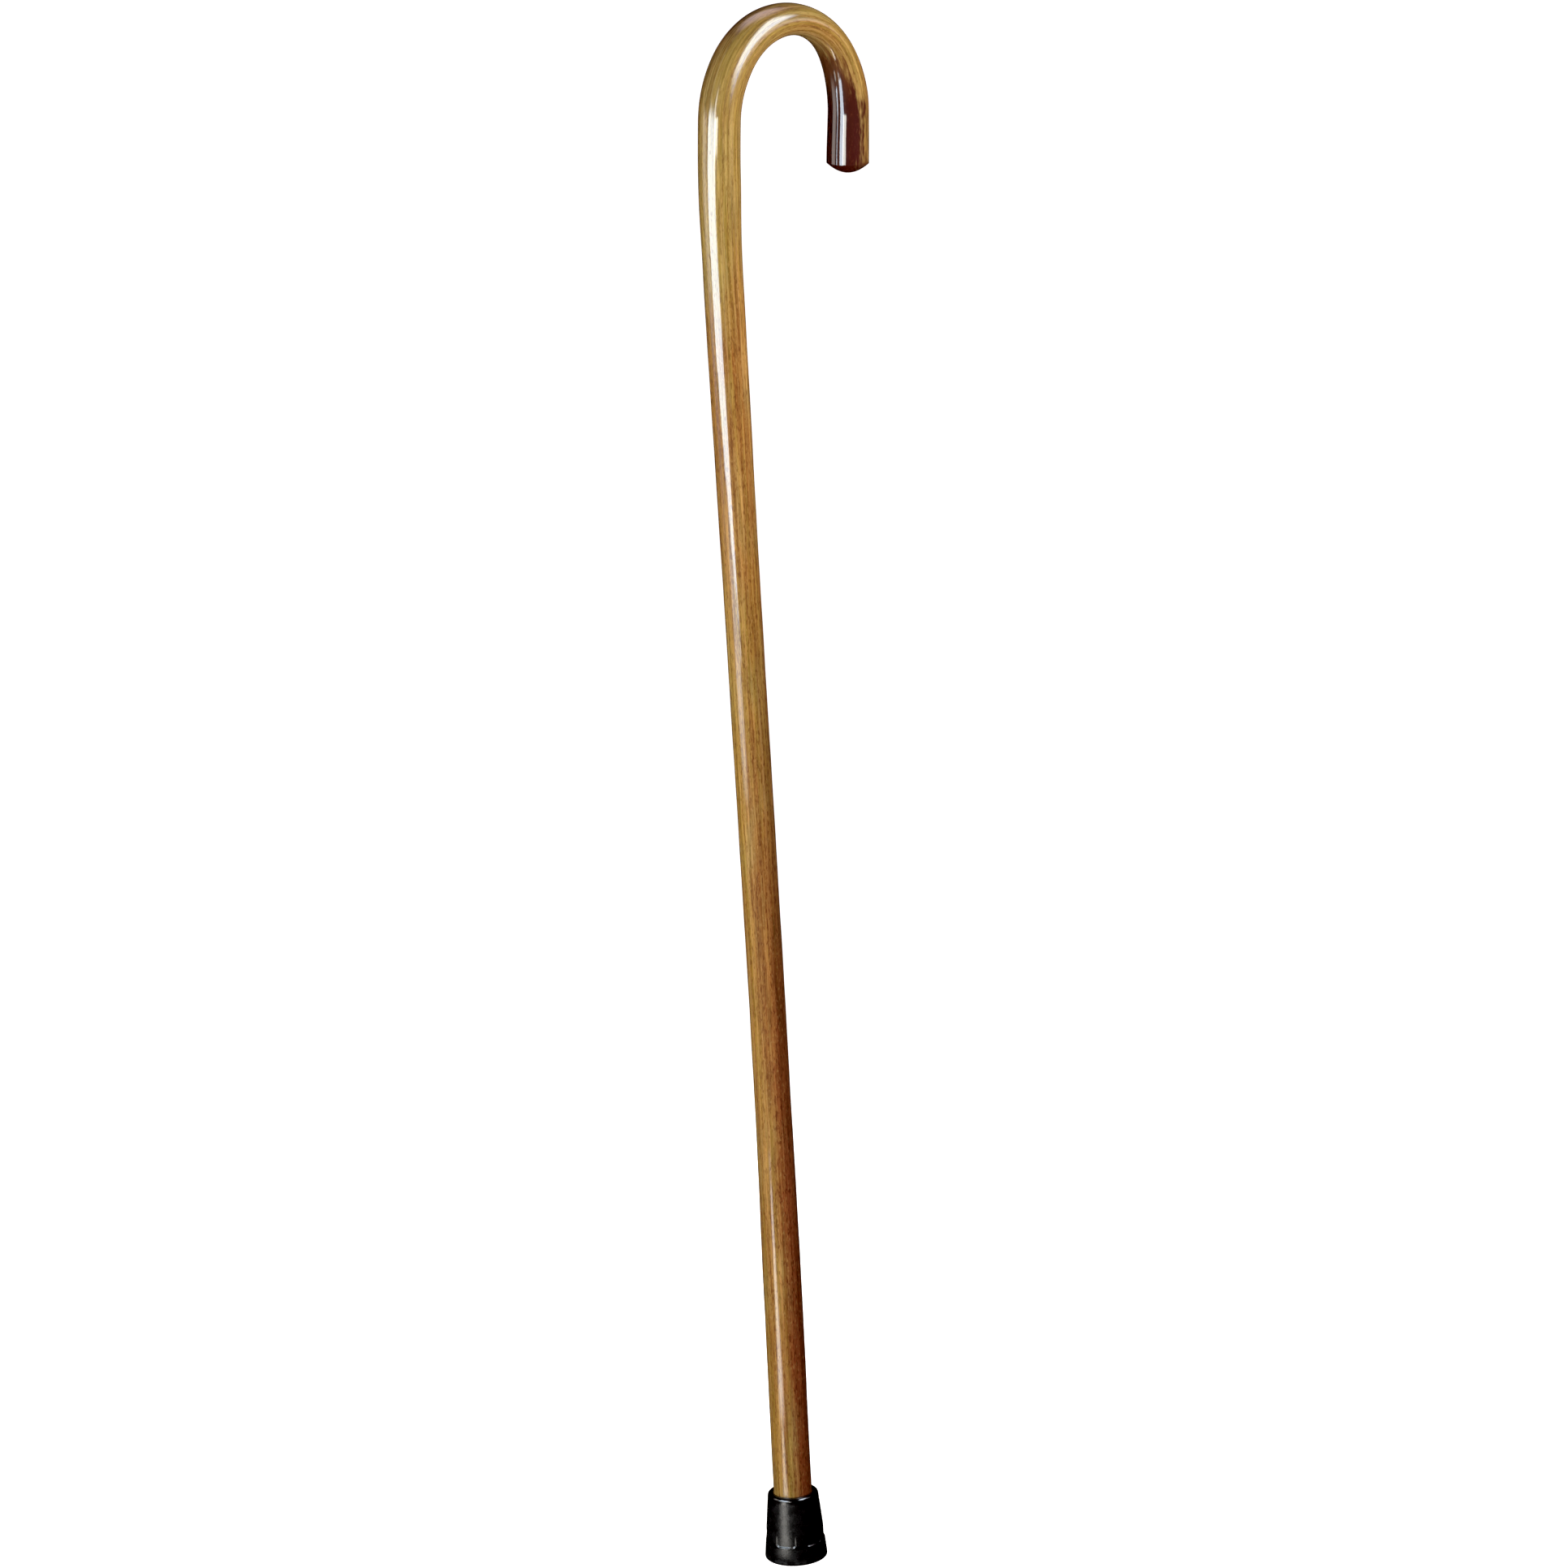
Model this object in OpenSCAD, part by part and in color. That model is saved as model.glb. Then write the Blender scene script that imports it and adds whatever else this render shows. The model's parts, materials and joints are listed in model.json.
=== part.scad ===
// Wooden crook cane: a one-piece bent hardwood rod standing in a push-on rubber tip.
//
// Millimetres. The shaft stands along +Z, the origin is the centre of the ground face,
// and the crook lies in the XZ plane with its free end towards +X.

/* [Cane] */
// Overall height, from the ground to the top of the crook
overall_h = 914.4; // [760:0.1:990]
// Sideways set of the shaft where it bows most
shaft_bow = 1.8; // [0:0.1:4]
// Diameter of the wooden end that goes into the tip
foot_d = 22.2; // [20:0.1:24]
// Diameter of the shaft where it is fullest above the tip
swell_d = 22.4; // [20:0.1:24]
// Diameter of the shaft at its slim lower waist
waist_d = 21; // [19:0.1:24]
// Diameter of the shaft above the middle
upper_d = 21.2; // [19:0.1:25]
// Diameter of the shaft where the bend begins
neck_d = 22.6; // [20:0.1:26]

/* [Crook bends] */
// Centreline radius of the gentle lead-in
lead_r = 960; // [500:10:1500]
// Turn of the lead-in, degrees
lead_turn = 5; // [3:0.5:6]
// Centreline radius of the shoulder
shoulder_r = 61; // [50:1:80]
// Turn of the shoulder, degrees
shoulder_turn = 31; // [20:1:40]
// Centreline radius of the crown
crown_r = 44.5; // [40:0.5:60]
// Turn of the crown, degrees
crown_turn = 119; // [100:1:130]
// Centreline radius of the outlet, where the crook opens again
outlet_r = 72; // [50:1:100]
// Turn of the outlet, degrees
outlet_turn = 30; // [10:1:35]
// Straight length after the outlet
end_l = 27.5; // [15:0.1:60]
// Height of the domed end face
dome_h = 5.6; // [2:0.1:8]

/* [Crook thickness] */
// Diameter just above the start of the bend
throat_d = 24; // [21:0.1:26]
// Thickness in the plane of the crook at the shoulder
shoulder_t = 23.6; // [20:0.1:26]
// Width across the crook at the shoulder
shoulder_w = 24.6; // [20:0.1:28]
// Thickness where bending has thinned the wood most
thin_t = 17; // [15:0.1:23]
// Width at the same place
thin_w = 23.6; // [20:0.1:28]
// Diameter where the crook is round again
flare_d = 23.3; // [20:0.1:26]
// Diameter at the end of the crook
end_d = 24.1; // [20:0.1:27]

/* [Rubber tip] */
// Height of the tip
tip_h = 40.6; // [36:0.1:50]
// Diameter of the foot of the tip
base_d = 36.6; // [34:0.1:44]
// Diameter of the rim of the tip, before its edge is rounded
rim_d = 29.2; // [28.5:0.1:32]
// Rounding of the outer edge of the rim
rim_round = 2.2; // [1:0.1:2.8]
// Rounding of the edge of the foot
foot_round = 1.4; // [0.5:0.1:2]
// Thickness of rubber under the washer
sole_t = 8; // [6:0.5:10]

/* [Tip pockets and tread] */
// Number of shallow pockets round the foot
pockets = 6; // [3:1:8]
// Angle that each pocket spans, degrees
pocket_span = 42; // [20:1:42]
// Angle of the first pocket from +X, degrees
pocket_turn = 30; // [0:0.5:60]
// Height of the ledge below each pocket
ledge_z = 11; // [8:0.5:14]
// Diameter of the floors of the pockets
pocket_floor_d = 33.2; // [31:0.1:34]
// Number of round grooves in the ground face
grooves = 3; // [1:1:3]
// Distance from one groove to the next
groove_pitch = 4.4; // [3.5:0.1:4.6]
// Width and depth of each groove
groove_w = 1.6; // [0.8:0.1:2]

/* [Washer] */
// Diameter of the steel washer
washer_d = 21.4; // [16:0.1:22]
// Diameter of the hole in the washer
washer_hole_d = 6.4; // [4:0.1:10]
// Thickness of the washer
washer_t = 1.6; // [1:0.1:2.5]

/* [Hidden] */

FIT_GAP = 0.05;                    // radial gap between the wood and its socket
REST_GAP = 0.02;                   // gap between the wood and the washer
FOOT_CHAMFER = 1;                  // chamfer on the wooden end
MOUTH_CHAMFER = 0.7;               // lead-in at the mouth of the socket
ROUND_FN = 96;                     // facets of the turned parts
ARC_STEPS = 5;                     // points on each small rounded edge
SWEEP_SIDES = 40;                  // sides of the swept wood
RING_PITCH = 5;                    // distance between sections round the crook
SHAFT_RINGS = 15;                  // sections up the straight shaft
DOME_RINGS = 5;                    // sections in the domed end
BOW_SKEW = 0.7;                    // under 1 moves the widest bow down the shaft
SWELL_Z = 150;                     // height where the shaft is fullest above the tip
WAIST_Z = 300;                     // height of the slim waist
UPPER_Z = 550;                     // height of the upper shaft diameter
LEAD_RINGS = 4;                    // sections in the lead-in
THROAT_AT = 0.19;                  // places along the crook, as parts of its length
SHOULDER_AT = 0.38;
THIN_AT = 0.70;
FLARE_AT = 0.88;

wood_foot_z = sole_t + washer_t + REST_GAP;
socket_r = foot_d / 2 + FIT_GAP;

// Bends in order from the shaft to the free end, each [centreline radius, turn].
BENDS = [
    [lead_r, lead_turn],
    [shoulder_r, shoulder_turn],
    [crown_r, crown_turn],
    [outlet_r, outlet_turn],
];

function arc_length(bend) = bend[0] * bend[1] * PI / 180;
bends_l = arc_length(BENDS[0]) + arc_length(BENDS[1]) + arc_length(BENDS[2]) + arc_length(BENDS[3]);
crook_l = bends_l + end_l;

// Value at x between [place, value] knots, level at every knot.
function eased(x, knots, i = 0) =
    i + 2 < len(knots) && x > knots[i + 1][0]
        ? eased(x, knots, i + 1)
        : let (
            span = knots[i + 1][0] - knots[i][0],
            part = min(1, max(0, (x - knots[i][0]) / span))
        )
        knots[i][1] + (knots[i + 1][1] - knots[i][1]) * (1 - cos(180 * part)) / 2;

// Thickness in the crook's plane and width across it, at distance c along the crook.
function crook_t(c) = eased(c / crook_l, [
    [0, neck_d], [THROAT_AT, throat_d], [SHOULDER_AT, shoulder_t],
    [THIN_AT, thin_t], [FLARE_AT, flare_d], [1, end_d],
]);
function crook_w(c) = eased(c / crook_l, [
    [0, neck_d], [THROAT_AT, throat_d], [SHOULDER_AT, shoulder_w],
    [THIN_AT, thin_w], [FLARE_AT, flare_d], [1, end_d],
]);

// The crown is level where the turn reaches 90 degrees.
crown_start = lead_turn + shoulder_turn;
top_c = arc_length(BENDS[0]) + arc_length(BENDS[1]) + arc_length([crown_r, 90 - crown_start]);
lead_rise = lead_r * sin(lead_turn);
shoulder_rise = shoulder_r * (sin(crown_start) - sin(lead_turn));
crown_rise = crown_r * (1 - sin(crown_start));
bend_z = overall_h - lead_rise - shoulder_rise - crown_rise - crook_t(top_c) / 2;

// Diameter of the shaft at height z.
function shaft_d(z) = eased(z, [
    [0, foot_d], [SWELL_Z, swell_d], [WAIST_Z, waist_d], [UPPER_Z, upper_d], [bend_z, neck_d],
]);

// Sideways set of the shaft at height z, none in the socket and none at the bend.
function bow_at(z) =
    shaft_bow * pow(sin(180 * pow((z - tip_h) / (bend_z - tip_h), BOW_SKEW)), 2);

// A section of the wood: [x, z, heading from +Z, thickness, width].
function shaft_section(z) = [bow_at(z), z, 0, shaft_d(z), shaft_d(z)];

// Start of bend i, and its point after a turn of a degrees, as [x, z, heading, distance].
function bend_start(i) = i == 0 ? [0, bend_z, 0, 0] : bend_point(i - 1, BENDS[i - 1][1]);
function bend_point(i, a) =
    let (p = bend_start(i), r = BENDS[i][0])
    [
        p[0] + r * (cos(p[2]) - cos(p[2] + a)),
        p[1] + r * (sin(p[2] + a) - sin(p[2])),
        p[2] + a,
        p[3] + arc_length([r, a]),
    ];
function straight_on(p, l) = [p[0] + l * sin(p[2]), p[1] + l * cos(p[2]), p[2], p[3] + l];
function crook_section(p) = [p[0], p[1], p[2], crook_t(p[3]), crook_w(p[3])];
function bend_rings(i) = i == 0 ? LEAD_RINGS : ceil(arc_length(BENDS[i]) / RING_PITCH);

crook_end = straight_on(bend_point(3, outlet_turn), end_l);

// The dome's sections shrink to the apex as the end face rises along the centreline.
function dome_section(a) =
    let (p = straight_on(crook_end, dome_h * pow(sin(a), 2)))
    [p[0], p[1], p[2], end_d * cos(a), end_d * cos(a)];

sections = [
    for (i = [0:SHAFT_RINGS - 1]) shaft_section(tip_h + (bend_z - tip_h) * i / SHAFT_RINGS),
    for (i = [0:3], j = [0:bend_rings(i) - 1])
        crook_section(bend_point(i, BENDS[i][1] * j / bend_rings(i))),
    for (l = [0:RING_PITCH:end_l - 1]) crook_section(straight_on(bend_point(3, outlet_turn), l)),
    for (i = [0:DOME_RINGS - 1]) dome_section(90 * i / DOME_RINGS),
];
apex = straight_on(crook_end, dome_h);

// Points of one section, in the plane square to its heading.
function ring(s) = [
    for (k = [0:SWEEP_SIDES - 1])
        let (
            a = 360 * k / SWEEP_SIDES,
            inward = s[3] / 2 * cos(a),
            across = s[4] / 2 * sin(a)
        )
        [s[0] + inward * cos(s[2]), across, s[1] - inward * sin(s[2])],
];

// The bowed shaft, the crook and its domed end as one closed skin.
module swept_wood() {
    last = len(sections) - 1;
    n = SWEEP_SIDES;
    points = [for (s = sections) each ring(s), [apex[0], 0, apex[1]]];
    sides = [
        for (i = [0:last - 1], k = [0:n - 1])
            let (a = i * n + k, b = i * n + (k + 1) % n)
            each [[a, a + n, b + n], [a, b + n, b]],
    ];
    cap = [for (k = [0:n - 1]) [last * n + k, len(points) - 1, last * n + (k + 1) % n]];
    polyhedron(points = points, faces = concat([[for (k = [0:n - 1]) k]], sides, cap));
}

// The turned end that fills the socket, chamfered where it meets the washer.
module wood_foot() {
    r = foot_d / 2;
    rotate_extrude($fn = ROUND_FN)
        polygon([
            [0, wood_foot_z],
            [r - FOOT_CHAMFER, wood_foot_z],
            [r, wood_foot_z + FOOT_CHAMFER],
            [r, tip_h + 1],
            [0, tip_h + 1],
        ]);
}

module cane_rod() {
    color("#9a6a2c") {
        swept_wood();
        wood_foot();
    }
}

// Points on a quarter-round edge about c, from angle a to angle b.
function edge_arc(c, r, a, b) = [
    for (i = [0:ARC_STEPS]) let (t = a + (b - a) * i / ARC_STEPS) c + r * [cos(t), sin(t)],
];

// Half section of the rubber: the sole, the flared wall, the rounded rim and the socket.
module tip_profile() {
    draft = atan2((base_d - rim_d) / 2, tip_h);
    foot_c = [base_d / 2 - foot_round * (1 + tan(draft)), foot_round];
    rim_c = [rim_d / 2 - rim_round * (1 - tan(draft)), tip_h - rim_round];
    polygon(concat(
        [[0, 0]],
        edge_arc(foot_c, foot_round, -90, draft),
        edge_arc(rim_c, rim_round, draft, 90),
        [
            [socket_r + MOUTH_CHAMFER, tip_h],
            [socket_r, tip_h - MOUTH_CHAMFER],
            [socket_r, sole_t],
            [0, sole_t],
        ]
    ));
}

// A shallow pocket cut into the flared wall above its ledge.
module pocket(angle) {
    rotate([0, 0, angle - pocket_span / 2])
        rotate_extrude(angle = pocket_span, $fn = ROUND_FN)
            translate([pocket_floor_d / 2, ledge_z])
                square([base_d / 2, tip_h - rim_round - ledge_z]);
}

// A round groove in the ground face.
module tread_groove(r) {
    translate([0, 0, -1])
        difference() {
            cylinder(r = r + groove_w / 2, h = groove_w + 1, $fn = ROUND_FN);
            translate([0, 0, -1])
                cylinder(r = r - groove_w / 2, h = groove_w + 3, $fn = ROUND_FN);
        }
}

module rubber_tip() {
    color("#1b1a1d")
        difference() {
            rotate_extrude($fn = ROUND_FN)
                tip_profile();
            for (i = [0:pockets - 1])
                pocket(pocket_turn + i * 360 / pockets);
            for (i = [0:grooves - 1])
                tread_groove(groove_pitch * (i + 1));
        }
}

module steel_washer() {
    color("#b9bcc0")
        translate([0, 0, sole_t])
            difference() {
                cylinder(d = washer_d, h = washer_t, $fn = ROUND_FN);
                translate([0, 0, -1])
                    cylinder(d = washer_hole_d, h = washer_t + 2, $fn = ROUND_FN);
            }
}

cane_rod();
rubber_tip();
steel_washer();
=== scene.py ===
"""Looks of the crook cane: bent, lacquered hardwood in a moulded rubber tip.

Metres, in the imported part's own frame: the shaft stands along +Z, the origin is the centre of
the ground face, and the crook lies in the XZ plane with its free end towards +X.
"""

import json
import math
from collections import namedtuple

import bpy
import numpy as np
from mathutils import Matrix, Vector


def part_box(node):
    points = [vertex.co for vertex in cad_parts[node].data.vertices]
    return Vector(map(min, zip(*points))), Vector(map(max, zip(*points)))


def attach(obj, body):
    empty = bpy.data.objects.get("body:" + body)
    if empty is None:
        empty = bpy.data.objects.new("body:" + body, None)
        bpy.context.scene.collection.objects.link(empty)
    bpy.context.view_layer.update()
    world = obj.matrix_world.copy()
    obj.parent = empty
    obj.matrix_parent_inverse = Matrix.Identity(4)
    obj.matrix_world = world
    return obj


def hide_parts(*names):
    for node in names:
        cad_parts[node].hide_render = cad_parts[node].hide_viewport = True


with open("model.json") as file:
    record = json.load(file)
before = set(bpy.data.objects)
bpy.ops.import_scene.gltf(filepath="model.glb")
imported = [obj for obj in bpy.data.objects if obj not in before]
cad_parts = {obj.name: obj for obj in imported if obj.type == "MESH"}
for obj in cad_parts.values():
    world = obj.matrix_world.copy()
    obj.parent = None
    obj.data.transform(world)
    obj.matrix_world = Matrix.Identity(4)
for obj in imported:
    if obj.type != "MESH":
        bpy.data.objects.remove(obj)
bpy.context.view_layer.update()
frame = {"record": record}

# ---------------------------------------------------------------- sizes
TOP_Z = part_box("cane_rod")[1].z
WOOD_FOOT_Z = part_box("cane_rod")[0].z
TIP_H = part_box("rubber_tip")[1].z

# The wood, with the same driving dimensions as the CAD solid that it stands for.
SHAFT_BOW = 0.0018
BOW_SKEW = 0.7
FOOT_D, SWELL_D, WAIST_D, UPPER_D, NECK_D = 0.0222, 0.0224, 0.0210, 0.0212, 0.0226
SWELL_Z, WAIST_Z, UPPER_Z = 0.150, 0.300, 0.550
Bend = namedtuple("Bend", "radius turn")      # turns in degrees
BENDS = (Bend(0.960, 5), Bend(0.061, 31), Bend(0.0445, 119), Bend(0.072, 30))
END_L = 0.0275
DOME_H = 0.0056
THROAT_AT, SHOULDER_AT, THIN_AT, FLARE_AT = 0.19, 0.38, 0.70, 0.88
THROAT_D = 0.0240
SHOULDER_T, SHOULDER_W = 0.0236, 0.0246
THIN_T, THIN_W = 0.0170, 0.0236
FLARE_D, END_D = 0.0233, 0.0241
FOOT_CHAMFER = 0.001

# The rubber tip.
BASE_D, RIM_D = 0.0366, 0.0292
RIM_ROUND, FOOT_ROUND = 0.0022, 0.0014
SOLE_T = 0.008
SOCKET_R = FOOT_D / 2 + 0.00005
POCKETS, POCKET_SPAN, POCKET_TURN = 6, 42, 30
POCKET_FLOOR_D = 0.0332
LEDGE_Z = 0.011
GROOVES, GROOVE_PITCH, GROOVE_W = 3, 0.0044, 0.0016

# The washer.
WASHER_D, WASHER_HOLE_D, WASHER_T = 0.0214, 0.0064, 0.0016

# Distances between the sections of the rod's skin.
SHAFT_STEP, BEND_STEP, END_STEP = 0.0025, 0.0012, 0.0015

# The floor lies below the lowest place of the tip, so that it doesn't hide a tip pulled off.
TIP_TRAVEL = frame["record"]["behaviour"]["joints"][0]["range_m"][1]
FLOOR_GAP = 0.001
FLOOR_Z = -(TIP_TRAVEL + FLOOR_GAP)

# The floor and the sky glow at this strength, so that both read as white.
BACKDROP = 1.05

# The camera, as the photograph sees the cane.
CAMERA_AZIMUTH, CAMERA_ELEVATION, CAMERA_ROLL = -39.74, 17.1, -3.22
CAMERA_DISTANCE = 5.0
CAMERA_AIM = Vector((0.0234, 0.0, 0.4659))
SENSOR = 36.0
LENS = 201.5


# ---------------------------------------------------------------- the wood's centreline
def eased(x, knots):
    """Value at x between (place, value) knots, level at every knot."""
    places = np.array([k[0] for k in knots], float)
    values = np.array([k[1] for k in knots], float)
    i = np.clip(np.searchsorted(places, x, side="right") - 1, 0, len(knots) - 2)
    part = np.clip((x - places[i]) / (places[i + 1] - places[i]), 0, 1)
    ease = (1 - np.cos(np.pi * part)) / 2
    return values[i] + (values[i + 1] - values[i]) * ease


def crook_thickness(part):
    """Thickness of the crook in its own plane, at a share of its length."""
    return eased(part, ((0, NECK_D), (THROAT_AT, THROAT_D), (SHOULDER_AT, SHOULDER_T),
                        (THIN_AT, THIN_T), (FLARE_AT, FLARE_D), (1, END_D)))


def crook_width(part):
    """Width of the crook across its plane, at a share of its length."""
    return eased(part, ((0, NECK_D), (THROAT_AT, THROAT_D), (SHOULDER_AT, SHOULDER_W),
                        (THIN_AT, THIN_W), (FLARE_AT, FLARE_D), (1, END_D)))


def arc_length(bend):
    return bend.radius * math.radians(bend.turn)


def bend_height():
    """Height where the lead-in begins, set back from the top of the crown."""
    lead, shoulder, crown = BENDS[:3]
    a, b = math.radians(lead.turn), math.radians(lead.turn + shoulder.turn)
    to_top = arc_length(lead) + arc_length(shoulder) + crown.radius * (math.pi / 2 - b)
    rise = (lead.radius * math.sin(a) + shoulder.radius * (math.sin(b) - math.sin(a))
            + crown.radius * (1 - math.sin(b)))
    return TOP_Z - rise - float(crook_thickness(np.array(to_top / CROOK_L))) / 2


CROOK_L = sum(arc_length(b) for b in BENDS) + END_L
BEND_Z = bend_height()


def sections():
    """Sections up the rod: x, z, heading, thickness, width and distance along the wood."""
    rows = []
    foot = ((WOOD_FOOT_Z, FOOT_D - 2 * FOOT_CHAMFER), (WOOD_FOOT_Z + FOOT_CHAMFER, FOOT_D))
    for z, d in foot:
        rows.append((0, z, 0, d, d, z))

    # The shaft, with a slight bow. Below the mouth of the tip it is straight.
    below_mouth = 0.020
    shaft_z = np.arange(TIP_H - below_mouth, BEND_Z, SHAFT_STEP)
    part = np.clip((shaft_z - TIP_H) / (BEND_Z - TIP_H), 0, 1)
    bow = SHAFT_BOW * np.sin(np.pi * part ** BOW_SKEW) ** 2
    d = eased(shaft_z, ((0, FOOT_D), (SWELL_Z, SWELL_D), (WAIST_Z, WAIST_D),
                        (UPPER_Z, UPPER_D), (BEND_Z, NECK_D)))
    d = np.where(shaft_z < TIP_H, FOOT_D, d)
    rows += [(x, z, 0, t, t, z) for x, z, t in zip(bow, shaft_z, d)]

    # The bends, one after another.
    x, z, heading, along = 0.0, BEND_Z, 0.0, 0.0
    for radius, turn in BENDS:
        steps = max(8, int(radius * math.radians(turn) / BEND_STEP))
        for i in range(steps):
            a = heading + math.radians(turn) * i / steps
            c = along + radius * (a - heading)
            rows.append(crook_row(x + radius * (math.cos(heading) - math.cos(a)),
                                  z + radius * (math.sin(a) - math.sin(heading)), a, c))
        end = heading + math.radians(turn)
        x += radius * (math.cos(heading) - math.cos(end))
        z += radius * (math.sin(end) - math.sin(heading))
        along += radius * (end - heading)
        heading = end

    # The straight run at the free end, and its dome.
    step_x, step_z = math.sin(heading), math.cos(heading)
    for run in np.arange(0, END_L, END_STEP):
        rows.append(crook_row(x + run * step_x, z + run * step_z, heading, along + run))
    dome_rings = 14
    for a in np.linspace(0, math.pi / 2, dome_rings + 1)[:-1]:
        run = END_L + DOME_H * math.sin(a) ** 2
        d = END_D * math.cos(a)
        rows.append((x + run * step_x, z + run * step_z, heading, d, d, BEND_Z + along + run))
    apex_run = END_L + DOME_H
    apex = (x + apex_run * step_x, 0, z + apex_run * step_z)
    return rows, apex, BEND_Z + along + apex_run


def crook_row(x, z, heading, c):
    """One section of the crook, at a distance c past the place where the bend begins."""
    part = np.array(c / CROOK_L)
    return (x, z, heading, float(crook_thickness(part)), float(crook_width(part)), BEND_Z + c)


# ---------------------------------------------------------------- meshes
def new_piece(name, verts, faces, body, slot, *nodes):
    """A smooth mesh piece that rides on a body and stands for CAD nodes."""
    mesh = bpy.data.meshes.new(name)
    mesh.from_pydata([tuple(v) for v in verts], [], faces)
    mesh.update()
    mesh.polygons.foreach_set("use_smooth", [True] * len(mesh.polygons))
    piece = bpy.data.objects.new(name, mesh)
    bpy.context.scene.collection.objects.link(piece)
    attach(piece, body)
    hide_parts(*nodes)
    return piece


def store_vectors(mesh, name, vectors):
    """Keeps one vector for each vertex, for the material to read."""
    layer = mesh.attributes.new(name, "FLOAT_VECTOR", "POINT")
    layer.data.foreach_set("vector", np.asarray(vectors, np.float32).ravel())


def rod_wobble(along, around):
    """Hand-sanded unevenness of the rod: a few slow waves, mostly inwards, at most 0.16 mm."""
    # Size, pitch along the rod, number of turns round it, and phase.
    waves = (
        (0.000040, 0.110, 1, 0.4),
        (0.000030, 0.063, 2, 2.1),
        (0.000022, 0.037, 1, 4.0),
        (0.000014, 0.021, 3, 1.2),
    )
    inward = 0.00005
    return -inward + sum(
        size * np.sin(2 * np.pi * along / pitch + phase) * np.cos(turns * around + phase)
        for size, pitch, turns, phase in waves)


def build_rod(sides=96):
    """The bent rod as one skin, with the coordinates of the straight stick it was bent from."""
    rows, apex, apex_along = sections()
    around = np.arange(sides) * 2 * np.pi / sides
    verts, grain = [], []
    wobble_onset = 0.02
    for x, z, heading, thick, wide, along in rows:
        above_tip = np.clip((along - TIP_H) / wobble_onset, 0, 1)
        wobble = 1 + rod_wobble(along, around) * above_tip / (thick / 2)
        inward = thick / 2 * np.cos(around) * wobble
        across = wide / 2 * np.sin(around) * wobble
        verts += zip(x + inward * math.cos(heading), across, z - inward * math.sin(heading))
        grain += zip(inward, across, [along] * sides)
    last = len(rows) - 1
    faces = []
    for i in range(last):
        for k in range(sides):
            a, b = i * sides + k, i * sides + (k + 1) % sides
            faces.append((a, b, b + sides, a + sides))
    verts += [(0, 0, WOOD_FOOT_Z), apex]
    grain += [(0, 0, WOOD_FOOT_Z), (0, 0, apex_along)]
    foot, tip = len(verts) - 2, len(verts) - 1
    for k in range(sides):
        n = (k + 1) % sides
        faces.append((n, k, foot))
        faces.append((last * sides + k, last * sides + n, tip))
    rod = new_piece("bent_wood", verts, faces, "cane", "lacquered_wood", "cane_rod")
    store_vectors(rod.data, "grain", grain)
    return rod


def edge_arc(centre, radius, start, end, steps=8):
    """Points (r, z) on a small rounded edge, angles in degrees."""
    for i in range(steps + 1):
        t = math.radians(start + (end - start) * i / steps)
        yield centre[0] + radius * math.cos(t), centre[1] + radius * math.sin(t)


def smooth_step(x, low, high):
    """0 below low, 1 above high, and an even S between."""
    t = np.clip((x - low) / (high - low), 0, 1)
    return t * t * (3 - 2 * t)


def pocket_depth(angle, r, z):
    """How far a pocket sinks the flared wall, with rounded lower corners and soft edges."""
    pitch = 2 * np.pi / POCKETS
    half = math.radians(POCKET_SPAN) / 2
    off = (angle - math.radians(POCKET_TURN) + pitch / 2) % pitch - pitch / 2
    sideways = (np.abs(off) - half) * r
    downward = LEDGE_Z - z
    corner = 0.0022
    outside = np.hypot(np.maximum(sideways + corner, 0), np.maximum(downward + corner, 0))
    inside = np.minimum(np.maximum(sideways, downward) + corner, 0)
    edge = outside + inside - corner
    edge_in, edge_out = -0.00065, 0.00005
    inset = 1 - smooth_step(edge, edge_in, edge_out)
    return np.maximum(r - POCKET_FLOOR_D / 2, 0) * inset


def tip_profile():
    """Points (r, z) of the rubber from the middle of the sole, out, up and down the socket."""
    draft = math.atan2((BASE_D - RIM_D) / 2, TIP_H)
    foot_c = (BASE_D / 2 - FOOT_ROUND * (1 + math.tan(draft)), FOOT_ROUND)
    rim_c = (RIM_D / 2 - RIM_ROUND * (1 - math.tan(draft)), TIP_H - RIM_ROUND)
    centre_r, lip = 0.0005, 0.0002
    ground = [(centre_r, 0.0)]
    for i in range(GROOVES):
        inner = GROOVE_PITCH * (i + 1) - GROOVE_W / 2
        outer = inner + GROOVE_W
        ground += [(inner - lip, 0), (inner, lip), (inner + lip / 2, GROOVE_W - lip),
                   (inner + 2 * lip, GROOVE_W), (outer - 2 * lip, GROOVE_W),
                   (outer - lip / 2, GROOVE_W - lip), (outer, lip), (outer + lip, 0)]
    foot = list(edge_arc(foot_c, FOOT_ROUND, -90, math.degrees(draft)))
    rim = list(edge_arc(rim_c, RIM_ROUND, math.degrees(draft), 90, 12))
    wall_steps = 120
    wall = [(foot[-1][0] + (rim[0][0] - foot[-1][0]) * i / wall_steps,
             foot[-1][1] + (rim[0][1] - foot[-1][1]) * i / wall_steps)
            for i in range(1, wall_steps)]
    mouth_r = 0.0006
    mouth = list(edge_arc((SOCKET_R + mouth_r, TIP_H - mouth_r), mouth_r, 90, 180, 6))
    bevel_in, bevel_up = 0.0003, 0.0005
    depths = np.linspace(TIP_H - mouth_r, SOLE_T + bevel_up, 12)[1:]
    socket = [(SOCKET_R, z) for z in depths]
    floor = [(SOCKET_R - bevel_in, SOLE_T), (SOCKET_R / 2, SOLE_T), (centre_r, SOLE_T)]
    return ground + foot + wall + rim + mouth + socket + floor


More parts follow.
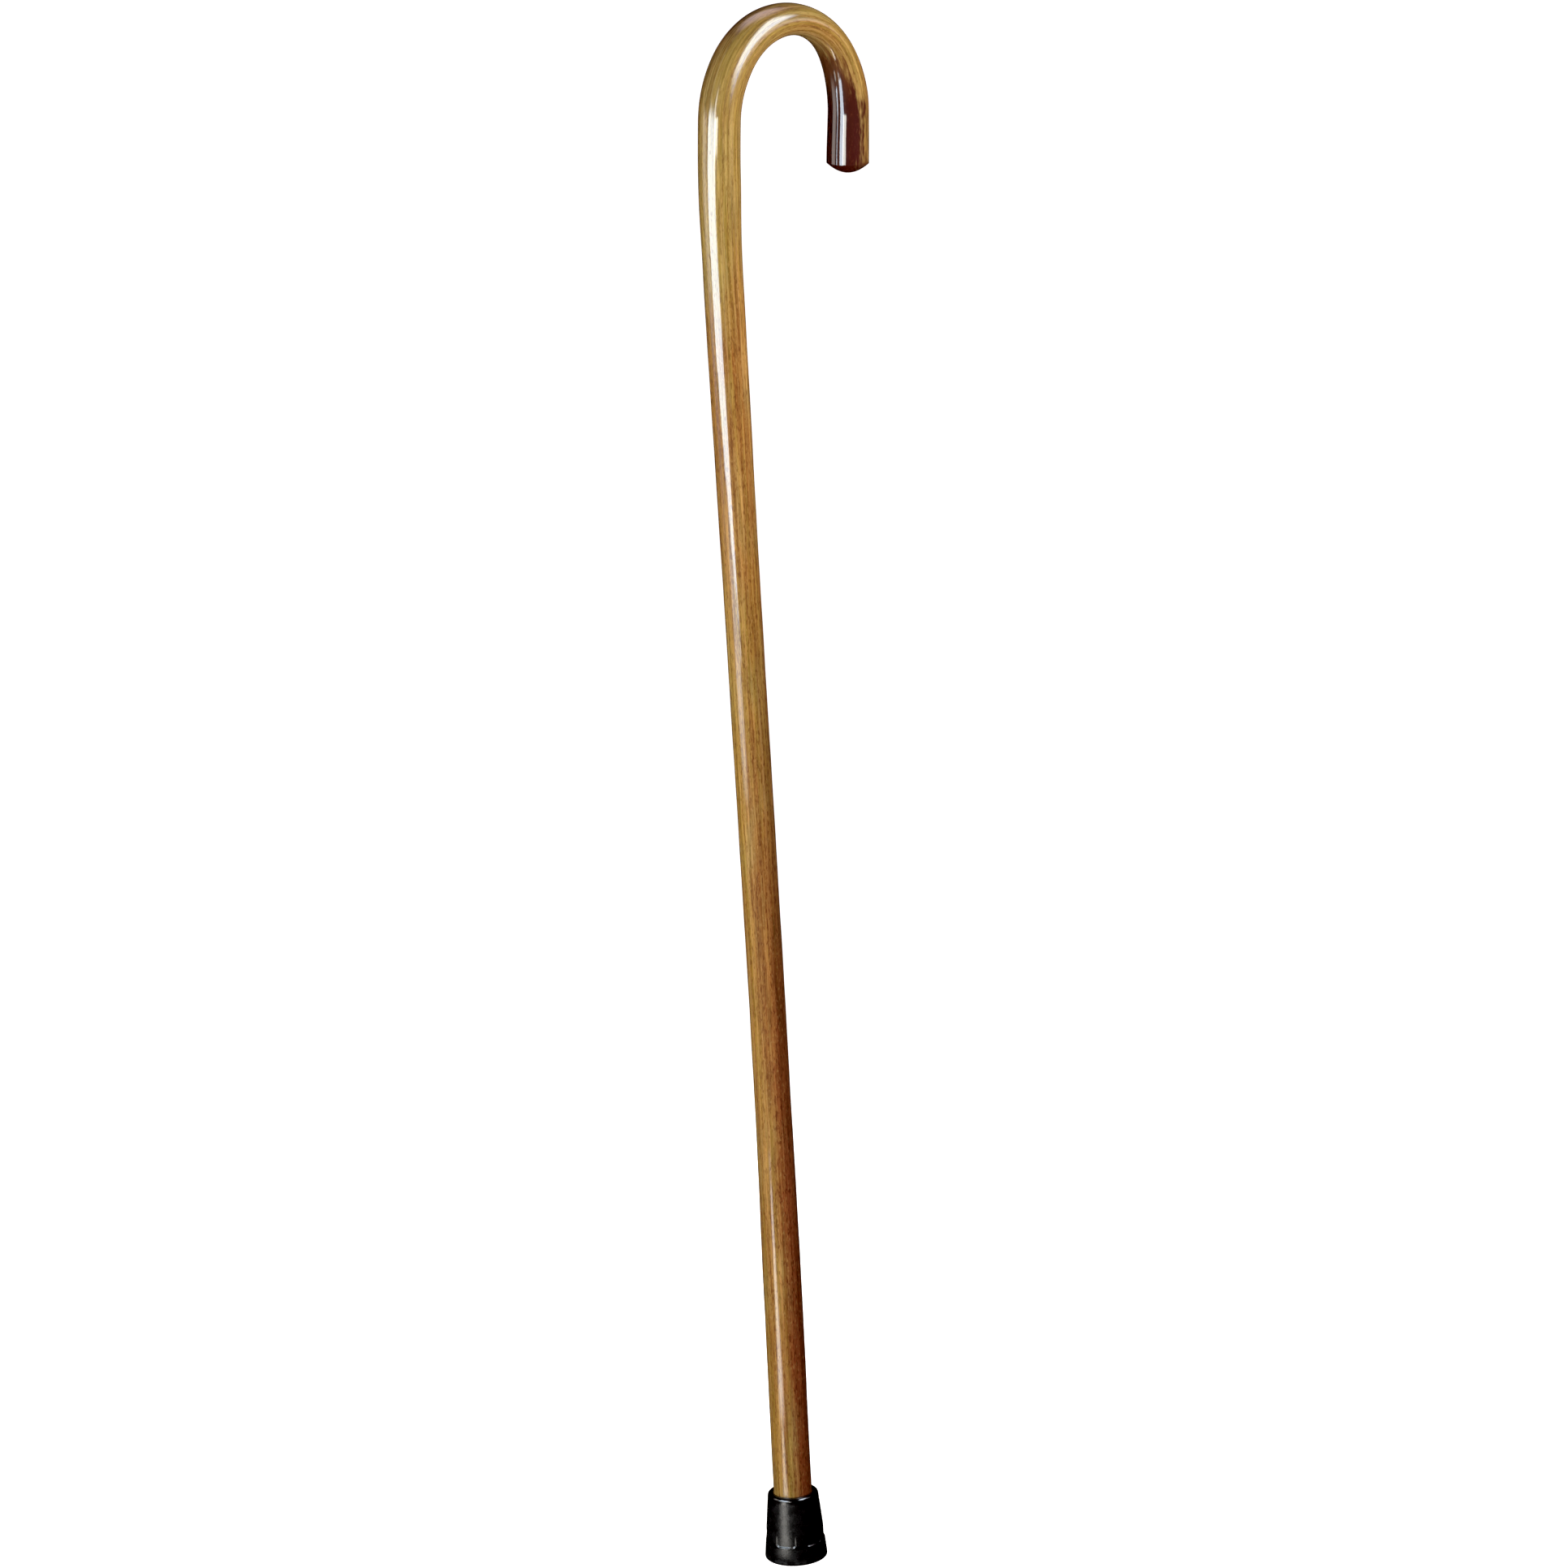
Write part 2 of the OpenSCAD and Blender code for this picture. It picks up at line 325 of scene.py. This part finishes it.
def revolve(profile, segments, sink=None):
    """Vertices and faces of an outline turned about Z; sink(angle, r, z) moves r inwards."""
    angle = np.arange(segments) * 2 * np.pi / segments
    verts, faces = [], []
    for r, z in profile:
        radius = np.full(segments, r)
        if sink is not None:
            radius = radius - sink(angle, r, z)
        verts += zip(radius * np.cos(angle), radius * np.sin(angle), [z] * segments)
    for i in range(len(profile) - 1):
        for k in range(segments):
            a, b = i * segments + k, i * segments + (k + 1) % segments
            faces.append((a, b, b + segments, a + segments))
    return verts, faces


def build_tip(segments=432):
    """The moulded tip: flared wall, six shallow pockets, rounded rim, socket and tread."""
    def wall_only(angle, r, z):
        on_wall = r > POCKET_FLOOR_D / 2 and FOOT_ROUND < z < TIP_H - RIM_ROUND
        return pocket_depth(angle, r, z) if on_wall else 0

    profile = tip_profile()
    verts, faces = revolve(profile, segments, wall_only)
    last = (len(profile) - 1) * segments
    faces.append(tuple(range(segments))[::-1])
    faces.append(tuple(range(last, last + segments)))
    return new_piece("moulded_tip", verts, faces, "tip", "black_rubber", "rubber_tip")


def build_washer(segments=96):
    """The flat washer with the rounded edges of a stamping."""
    outer, inner, edge = WASHER_D / 2, WASHER_HOLE_D / 2, 0.0003
    low, high = SOLE_T, SOLE_T + WASHER_T
    profile = [(inner + edge, low)]
    profile += edge_arc((outer - edge, low + edge), edge, -90, 0, 4)
    profile += edge_arc((outer - edge, high - edge), edge, 0, 90, 4)
    profile += edge_arc((inner + edge, high - edge), edge, 90, 180, 4)
    profile += edge_arc((inner + edge, low + edge), edge, 180, 270, 4)
    verts, faces = revolve(profile, segments)
    return new_piece("stamped_washer", verts, faces, "tip", "zinc_steel", "steel_washer")


# ---------------------------------------------------------------- materials
class Graph:
    """Short calls for wiring one material."""

    def __init__(self, name):
        self.material = bpy.data.materials.new(name)
        self.material.use_nodes = True
        self.tree = self.material.node_tree
        self.shader = self.tree.nodes["Principled BSDF"]

    def wire(self, value, socket):
        if hasattr(value, "is_output"):
            self.tree.links.new(value, socket)
        else:
            socket.default_value = value

    def node(self, kind, **settings):
        made = self.tree.nodes.new(kind)
        for key, value in settings.items():
            setattr(made, key, value)
        return made

    def math(self, operation, a, b=0.0, clamp=False):
        made = self.node("ShaderNodeMath", operation=operation, use_clamp=clamp)
        self.wire(a, made.inputs[0])
        self.wire(b, made.inputs[1])
        return made.outputs[0]

    def span(self, value, low, high, to_low=0.0, to_high=1.0):
        """A smooth step of value between low and high."""
        made = self.node("ShaderNodeMapRange", interpolation_type="SMOOTHSTEP")
        for i, v in enumerate((value, low, high, to_low, to_high)):
            self.wire(v, made.inputs[i])
        return made.outputs[0]

    def stretch(self, vector, scale):
        made = self.node("ShaderNodeVectorMath", operation="MULTIPLY")
        self.wire(vector, made.inputs[0])
        made.inputs[1].default_value = scale
        return made.outputs[0]

    def noise(self, vector, detail=2.0, roughness=0.5, distortion=0.0):
        made = self.node("ShaderNodeTexNoise")
        self.wire(vector, made.inputs["Vector"])
        made.inputs["Scale"].default_value = 1.0
        made.inputs["Detail"].default_value = detail
        made.inputs["Roughness"].default_value = roughness
        made.inputs["Distortion"].default_value = distortion
        return made.outputs["Fac"]

    def mix(self, factor, a, b, blend="MIX"):
        made = self.node("ShaderNodeMix", data_type="RGBA", blend_type=blend)
        self.wire(factor, made.inputs["Factor"])
        self.wire(a, made.inputs[6])
        self.wire(b, made.inputs[7])
        return made.outputs[2]

    def bump(self, height, distance, strength=1.0, normal=None):
        made = self.node("ShaderNodeBump")
        made.inputs["Strength"].default_value = strength
        made.inputs["Distance"].default_value = distance
        self.wire(height, made.inputs["Height"])
        if normal is not None:
            self.wire(normal, made.inputs["Normal"])
        return made.outputs[0]

    def set(self, **inputs):
        for key, value in inputs.items():
            self.wire(value, self.shader.inputs[key.replace("_", " ")])


def rgb(r, g, b):
    return (r, g, b, 1.0)


# Noise scales are in waves per metre, two across the stick and one along it. Places along the
# wood are in metres from the ground: 0.77 where the bend begins and 1.05 at the free end.
def growth_rings(g, grain, inward, across):
    """Early wood of rings about a pith well outside the stick, so it runs as slow flame figure."""
    pith_in, pith_across, ring_pitch = 0.030, 0.021, 0.0024
    sway = g.noise(g.stretch(grain, (30, 30, 6)), 2.0, 0.5)
    offset = g.node("ShaderNodeCombineXYZ")
    g.wire(g.math("ADD", inward, pith_in), offset.inputs[0])
    g.wire(g.math("ADD", across, pith_across), offset.inputs[1])
    from_pith = g.node("ShaderNodeVectorMath", operation="LENGTH")
    g.wire(offset.outputs[0], from_pith.inputs[0])
    ring_place = g.math("ADD", from_pith.outputs["Value"], g.math("MULTIPLY", sway, 0.010))
    ring_turn = g.math("MULTIPLY", ring_place, 2 * math.pi / ring_pitch)
    ring = g.math("ADD", g.math("MULTIPLY", g.math("SINE", ring_turn), 0.5), 0.5)
    return g.span(ring, 0.35, 0.95)


def pore_dashes(g, grain, early):
    """Pores as short dark dashes, crowded in the early wood."""
    edge = g.math("SUBTRACT", 0.61, g.math("MULTIPLY", early, 0.06))
    fine, wide = (
        g.span(g.math("SUBTRACT", g.noise(g.stretch(grain, scale), 1.0, 0.6), edge), 0.0, 0.10)
        for scale in ((1900, 1900, 260), (1050, 1050, 230)))
    return g.math("MAXIMUM", fine, wide)


def bend_stain_and_shade(g, colour, grain, split, speckle, flecks):
    """Colour inside the bend and at the end: painted shade on the hook's inner face, mixed with
    streaky stain, and browner towards the free end.
    """
    inward, across, along = split.outputs
    facing_in = g.math("ADD", g.math("MULTIPLY", inward, 64.0), g.math("MULTIPLY", across, 53.0))
    reach = g.span(along, 0.985, 1.018, -0.28, -0.86)
    wisps = g.noise(g.stretch(grain, (620, 620, 24)), 3.0, 0.6)
    ragged = g.math("MULTIPLY", g.math("SUBTRACT", g.math("ADD", wisps, speckle), 1.0), 1.1)
    onset = g.span(g.math("ADD", along, g.math("MULTIPLY", wisps, 0.04)), 0.978, 1.004)
    inside = g.span(g.math("ADD", g.math("SUBTRACT", facing_in, reach), ragged), -0.10, 0.45)
    inside = g.math("MULTIPLY", inside, onset)
    inside = g.math("MAXIMUM", inside, g.span(along, 1.0435, 1.0465, 0.0, 0.85))
    deep = g.span(g.math("ADD", along, g.math("MULTIPLY", wisps, 0.03)), 1.000, 1.026)
    # Painted shade with stain: the dark maroon on the hook's inner face stands in for its shade,
    # broken by streaks of stain.
    stain_and_shade = g.mix(deep, rgb(0.150, 0.052, 0.016), rgb(0.052, 0.0045, 0.0040))
    stain_and_shade = g.mix(g.math("MULTIPLY", flecks, 0.20), stain_and_shade, rgb(0.20, 0.050, 0.020))
    # Browner towards the free end.
    colour = g.mix(g.span(along, 0.985, 1.045, 0.0, 0.52), colour, rgb(0.23, 0.11, 0.042))
    return g.mix(g.math("MULTIPLY", inside, 0.975), colour, stain_and_shade)


def wood_material():
    """Stained, open-pored hardwood under clear lacquer, cut from a straight board."""
    g = Graph("lacquered_wood")
    grain = g.node("ShaderNodeAttribute", attribute_name="grain").outputs["Vector"]
    split = g.node("ShaderNodeSeparateXYZ")
    g.wire(grain, split.inputs[0])
    inward, across, along = split.outputs

    early = growth_rings(g, grain, inward, across)
    pores = pore_dashes(g, grain, early)

    # Fibres, broad streaks and light flecks.
    fibres = g.noise(g.stretch(grain, (1300, 1300, 38)), 3.0, 0.6)
    streaks = g.span(g.noise(g.stretch(grain, (420, 420, 8)), 3.0, 0.6), 0.30, 0.70)
    olive = g.span(g.noise(g.stretch(grain, (330, 330, 6)), 2.0, 0.5), 0.45, 0.62)
    flecks = g.span(g.noise(g.stretch(grain, (1100, 1100, 380)), 1.0, 0.5), 0.56, 0.72)
    patches = g.noise(g.stretch(grain, (70, 70, 16)), 2.0, 0.5)
    speckle = g.noise(g.stretch(grain, (420, 420, 110)), 2.0, 0.6)

    # Golden round the crook and browner below, with a redder, darker tone low on the side away
    # from the lights: painted shade.
    brown = g.math("ADD", g.span(along, 0.715, 0.80, 1.0, 0.05),
                   g.math("MULTIPLY", g.math("SUBTRACT", patches, 0.5), 3.4), True)
    # Painted shade: the side turned from the lights, low on the shaft, is made redder and darker.
    side = g.math("SUBTRACT", g.math("MULTIPLY", inward, 75.0), g.math("MULTIPLY", across, 62.0))
    uneven = g.math("ADD", patches, g.math("MULTIPLY", speckle, 0.7))
    painted_side_shade = g.math("MULTIPLY", g.span(g.math("ADD", side, uneven), 0.50, 1.55),
                   g.span(along, 0.19, 0.62, 1.0, 0.06))
    gold = g.mix(streaks, rgb(0.34, 0.230, 0.052), rgb(0.58, 0.460, 0.170))
    tan = g.mix(streaks, rgb(0.28, 0.122, 0.026), rgb(0.56, 0.330, 0.092))
    shade_red = g.mix(streaks, rgb(0.17, 0.026, 0.010), rgb(0.38, 0.108, 0.036))
    colour = g.mix(brown, gold, tan)
    colour = g.mix(g.math("MULTIPLY", olive, 0.45), colour, rgb(0.42, 0.290, 0.048))
    colour = g.mix(g.math("MULTIPLY", painted_side_shade, 0.95), colour, shade_red)
    colour = g.mix(g.math("MULTIPLY", early, 0.20), colour, rgb(0.26, 0.085, 0.018))
    shade = g.span(fibres, 0.25, 0.75, 0.66, 1.30)
    tint = g.node("ShaderNodeCombineXYZ")
    for axis in tint.inputs:
        g.wire(shade, axis)
    colour = g.mix(1.0, colour, tint.outputs[0], "MULTIPLY")
    depth = g.math("ADD", g.span(along, 0.70, 0.80, 0.48, 0.32), g.math("MULTIPLY", painted_side_shade, 0.3))
    colour = g.mix(g.math("MULTIPLY", flecks, 0.28), colour, rgb(0.66, 0.40, 0.13))
    colour = g.mix(g.math("MULTIPLY", pores, depth), colour, rgb(0.100, 0.016, 0.004))

    colour = bend_stain_and_shade(g, colour, grain, split, speckle, flecks)

    # Rubbed and bare where the tip has been pushed on and off.
    rub_noise = g.noise(g.stretch(grain, (420, 420, 90)), 3.0, 0.6)
    bare = g.span(g.math("ADD", along, g.math("MULTIPLY", rub_noise, 0.004)), 0.037, 0.042, 1, 0)
    colour = g.mix(g.math("MULTIPLY", bare, 0.55), colour, rgb(0.075, 0.040, 0.022))

    lacquer = g.math("SUBTRACT", 1.0, g.math("MULTIPLY", bare, 0.85))
    roughness = g.math("ADD", 0.36, g.math("MULTIPLY", fibres, 0.14))
    relief = g.math("SUBTRACT", g.math("MULTIPLY", fibres, 0.25), pores)
    peel = g.noise(g.stretch(grain, (240, 240, 150)), 2.0, 0.5)
    skin = g.math("SUBTRACT", g.math("MULTIPLY", peel, 0.6), g.math("MULTIPLY", pores, 0.08))
    g.set(Base_Color=colour, Roughness=roughness, Normal=g.bump(relief, 0.00006, 0.6),
          Specular_IOR_Level=0.05, Coat_Weight=lacquer, Coat_Roughness=0.05, Coat_IOR=1.52,
          Coat_Normal=g.bump(skin, 0.00002, 0.5))
    return g.material


def rubber_material():
    """Moulded black rubber: pebbled satin walls, smooth rim and ledges, a little dust."""
    g = Graph("black_rubber")
    place = g.node("ShaderNodeTexCoord").outputs["Object"]
    pebble = g.noise(g.stretch(place, (1200, 1200, 1200)), 2.0, 0.55)
    mottle = g.noise(g.stretch(place, (260, 260, 260)), 3.0, 0.6)
    split = g.node("ShaderNodeSeparateXYZ")
    g.wire(place, split.inputs[0])
    height = split.outputs[2]
    worn = g.math("MULTIPLY", g.span(height, 0.0005, 0.005, 1, 0), g.span(mottle, 0.4, 0.7))
    rim = g.span(height, TIP_H - 0.0042, TIP_H - 0.0024)
    ledge = g.math("MULTIPLY", g.span(height, LEDGE_Z - 0.0012, LEDGE_Z - 0.0004),
                   g.span(height, LEDGE_Z + 0.0002, LEDGE_Z + 0.0010, 1, 0))
    smooth = g.math("MAXIMUM", rim, ledge)
    colour = g.mix(mottle, rgb(0.0028, 0.0024, 0.0025), rgb(0.0062, 0.0054, 0.0056))
    colour = g.mix(g.math("MULTIPLY", worn, 0.4), colour, rgb(0.022, 0.020, 0.018))
    roughness = g.math("ADD", g.span(mottle, 0.3, 0.7, 0.19, 0.30), g.math("MULTIPLY", worn, 0.2))
    roughness = g.math("SUBTRACT", roughness, g.math("MULTIPLY", smooth, 0.14))
    grain = g.math("MULTIPLY", g.math("SUBTRACT", 1.0, g.math("MULTIPLY", smooth, 0.85)), pebble)
    g.set(Base_Color=colour, Roughness=roughness, Specular_IOR_Level=0.6,
          Normal=g.bump(mottle, 0.00012, 0.4, g.bump(grain, 0.00012, 1.0)))
    return g.material


def steel_material():
    """Dull zinc plate with fine scratches and a little staining."""
    g = Graph("zinc_steel")
    place = g.node("ShaderNodeTexCoord").outputs["Object"]
    cloud = g.noise(g.stretch(place, (300, 300, 300)), 3.0, 0.6)
    scratch = g.noise(g.stretch(place, (200, 6000, 200)), 2.0, 0.6)
    colour = g.mix(cloud, rgb(0.42, 0.43, 0.45), rgb(0.62, 0.62, 0.60))
    colour = g.mix(g.math("MULTIPLY", g.span(cloud, 0.62, 0.8), 0.5), colour,
                   rgb(0.22, 0.16, 0.10))
    roughness = g.span(scratch, 0.3, 0.7, 0.28, 0.45)
    g.set(Base_Color=colour, Metallic=1.0, Roughness=roughness,
          Normal=g.bump(scratch, 0.00001, 0.5))
    return g.material


# ---------------------------------------------------------------- floor, light and camera
def build_floor():
    """A plain pale floor that reads near white, with no shadow."""
    half = 20.0
    mesh = bpy.data.meshes.new("floor")
    corners = [(-half, -half, 0), (half, -half, 0), (half, half, 0), (-half, half, 0)]
    mesh.from_pydata(corners, [], [(0, 1, 2, 3)])
    floor = bpy.data.objects.new("floor", mesh)
    floor.location.z = FLOOR_Z
    bpy.context.scene.collection.objects.link(floor)
    g = Graph("pale_floor")
    g.set(Base_Color=rgb(0.80, 0.80, 0.80), Roughness=0.9, Emission_Color=rgb(1, 1, 1),
          Emission_Strength=BACKDROP)
    mesh.materials.append(g.material)
    floor.visible_diffuse = False
    floor.visible_glossy = False


def build_world():
    """White to the camera, a warm fill on the object, and nearly dark in reflections."""
    world = bpy.data.worlds.new("studio")
    bpy.context.scene.world = world
    world.use_nodes = True
    nodes, links = world.node_tree.nodes, world.node_tree.links
    nodes.clear()
    rays = nodes.new("ShaderNodeLightPath")
    shown = None
    for ray, colour, strength in (("Is Glossy Ray", (1.0, 0.9, 0.85, 1), 0.005),
                                  ("Is Diffuse Ray", (1.0, 0.50, 0.42, 1), 0.15),
                                  ("Is Camera Ray", (1, 1, 1, 1), BACKDROP)):
        sky = nodes.new("ShaderNodeBackground")
        sky.inputs["Color"].default_value = colour
        sky.inputs["Strength"].default_value = strength
        mix = nodes.new("ShaderNodeMixShader")
        links.new(rays.outputs[ray], mix.inputs[0])
        if shown is not None:
            links.new(shown, mix.inputs[1])
        links.new(sky.outputs[0], mix.inputs[2])
        shown = mix.outputs[0]
    links.new(shown, nodes.new("ShaderNodeOutputWorld").inputs[0])


def feather(data, sides, foot, head):
    """Dims a rectangular light towards its edges, over shares of its width and height."""
    data.use_nodes = True
    nodes, links = data.node_tree.nodes, data.node_tree.links
    place = nodes.new("ShaderNodeSeparateXYZ")
    links.new(nodes.new("ShaderNodeNewGeometry").outputs["Parametric"], place.inputs[0])
    across, upward = place.outputs[:2]
    strength = None
    for distance, dark, bright in ((across, 0, sides), (across, 1, 1 - sides),
                                   (upward, 0, foot), (upward, 1, 1 - head)):
        ease = nodes.new("ShaderNodeMapRange")
        ease.interpolation_type = "SMOOTHSTEP"
        ease.inputs["From Min"].default_value = dark
        ease.inputs["From Max"].default_value = bright
        links.new(distance, ease.inputs[0])
        if strength is None:
            strength = ease.outputs[0]
            continue
        product = nodes.new("ShaderNodeMath")
        product.operation = "MULTIPLY"
        links.new(strength, product.inputs[0])
        links.new(ease.outputs[0], product.inputs[1])
        strength = product.outputs[0]
    links.new(strength, nodes["Emission"].inputs["Strength"])


def softbox(name, place, towards, size, radiance, colour=(1, 1, 1), turn=0, lights=True,
            shows=True, fade=None):
    """A rectangular soft light that faces a point; it can light, show in the gloss, or both."""
    data = bpy.data.lights.new(name, "AREA")
    data.shape = "RECTANGLE"
    data.size, data.size_y = size
    data.color = colour
    data.energy = radiance * math.pi * size[0] * size[1]
    if fade:
        feather(data, *fade)
    away = Vector(place) - Vector(towards)
    facing = away.to_track_quat("Z", "Y").to_matrix() @ Matrix.Rotation(math.radians(turn), 3, "Z")
    lamp = bpy.data.objects.new(name, data)
    lamp.matrix_world = Matrix.Translation(place) @ facing.to_4x4()
    lamp.visible_camera = False
    lamp.visible_diffuse = lights
    lamp.visible_glossy = shows
    bpy.context.scene.collection.objects.link(lamp)


def build_lights():
    """Softboxes that only light the cane, and cards that only show in its gloss."""
    warm_white = (1.0, 0.98, 0.94)
    shaft_top = (0.0, 0.0, 0.75)
    crown = (0.05, 0.0, 0.89)
    softbox("left_softbox", (-0.98, -0.10, 0.55), shaft_top, (0.55, 0.50), 9.5, shows=False)
    softbox("right_softbox", (0.34, -0.57, 1.12), (0.0, 0.0, 0.85), (0.40, 0.40), 8.7,
            (1.0, 0.98, 0.92), shows=False)
    softbox("foot_softbox", (-0.55, -0.40, 0.16), (0.0, 0.0, 0.16), (0.30, 0.24), 4.6,
            warm_white, shows=False)
    softbox("low_fill", (0.16, -0.22, 0.66), (0.06, 0.0, 0.90), (0.30, 0.20), 2.4,
            (1.0, 0.82, 0.82), shows=False)
    softbox("back_softbox", (0.60, 0.75, 0.62), (0.0, 0.0, 0.50), (0.46, 0.80), 4.2,
            warm_white, shows=False)
    softbox("left_card", (-0.97, -0.09, 0.70), shaft_top, (0.80, 0.78), 13.8,
            (0.86, 1.00, 1.15), turn=-14, lights=False, fade=(0.09, 0.08, 0.40))
    softbox("left_card_foot", (-0.93, 0.05, 0.26), shaft_top, (0.68, 0.22), 5.4,
            (0.98, 1.04, 0.96), lights=False, fade=(0.20, 0.3, 0.3))
    softbox("left_edge_card", (-0.92, 0.69, 0.60), (0.0, 0.0, 0.75), (0.66, 0.84), 3.4,
            (1.0, 0.92, 0.84), lights=False, fade=(0.25, 0.50, 0.25))
    softbox("low_far_card", (-2.52, -1.45, 0.66), (0.1, 0.0, 0.80), (1.00, 0.54), 16.0,
            (1.0, 1.0, 0.92), lights=False, fade=(0.12, 0.25, 0.25))
    softbox("left_high_card", (-1.12, -0.42, 1.15), crown, (0.26, 0.62), 9.0,
            lights=False, fade=(0.35, 0.10, 0.60))
    softbox("crown_card", (0.31, -0.81, 1.34), crown, (1.50, 0.80), 14.0, (0.90, 1.0, 1.12),
            turn=45, lights=False, fade=(0.3, 0.3, 0.3))
    softbox("over_card", (0.29, 0.29, 1.70), crown, (1.10, 0.90), 3.6, (1.0, 0.80, 0.84),
            lights=False, fade=(0.4, 0.4, 0.4))
    softbox("under_card", (0.62, -0.72, 0.97), crown, (0.90, 0.46), 2.6, (1.0, 0.86, 0.98),
            lights=False, fade=(0.4, 0.3, 0.4))

    # A run of cards on the floor, wider with distance, gives the sheen low on the shaft and tip.
    for name, x, y, length, width, radiance in (
            ("near_floor_card", -0.062, -0.015, 0.075, 0.036, 4.2),
            ("middle_floor_card", -0.155, -0.022, 0.150, 0.085, 5.2),
            ("far_floor_card", -0.475, -0.078, 0.580, 0.230, 8.4)):
        softbox(name, (x, y, 0.003), (x, y, 1.0), (length, width), radiance, (1.0, 0.97, 0.91),
                turn=-10, lights=False, fade=(0.20, 0.38, 0.38))


def build_camera():
    """Long-lens camera, turned and rolled as the photograph was taken."""
    a, e, roll = (math.radians(v) for v in (CAMERA_AZIMUTH, CAMERA_ELEVATION, CAMERA_ROLL))
    back = Vector((math.sin(a) * math.cos(e), -math.cos(a) * math.cos(e), math.sin(e)))
    right = Vector((math.cos(a), math.sin(a), 0))
    up = back.cross(right)
    rolled_right = math.cos(roll) * right + math.sin(roll) * up
    rolled_up = math.cos(roll) * up - math.sin(roll) * right
    data = bpy.data.cameras.new("camera")
    data.sensor_width = SENSOR
    data.lens = LENS
    data.clip_end = 100.0
    camera = bpy.data.objects.new("camera", data)
    turn = Matrix((rolled_right, rolled_up, back)).transposed().to_4x4()
    camera.matrix_world = Matrix.Translation(CAMERA_AIM + back * CAMERA_DISTANCE) @ turn
    bpy.context.scene.collection.objects.link(camera)
    bpy.context.scene.camera = camera


# ---------------------------------------------------------------- the scene
build_camera()
build_floor()
build_world()
build_lights()

build_rod().data.materials.append(wood_material())
build_tip().data.materials.append(rubber_material())
build_washer().data.materials.append(steel_material())

bpy.context.scene.view_settings.view_transform = "Standard"
bpy.context.scene.view_settings.use_curve_mapping = True
bpy.context.scene.view_settings.curve_mapping.black_level = (0.004, 0.004, 0.004)
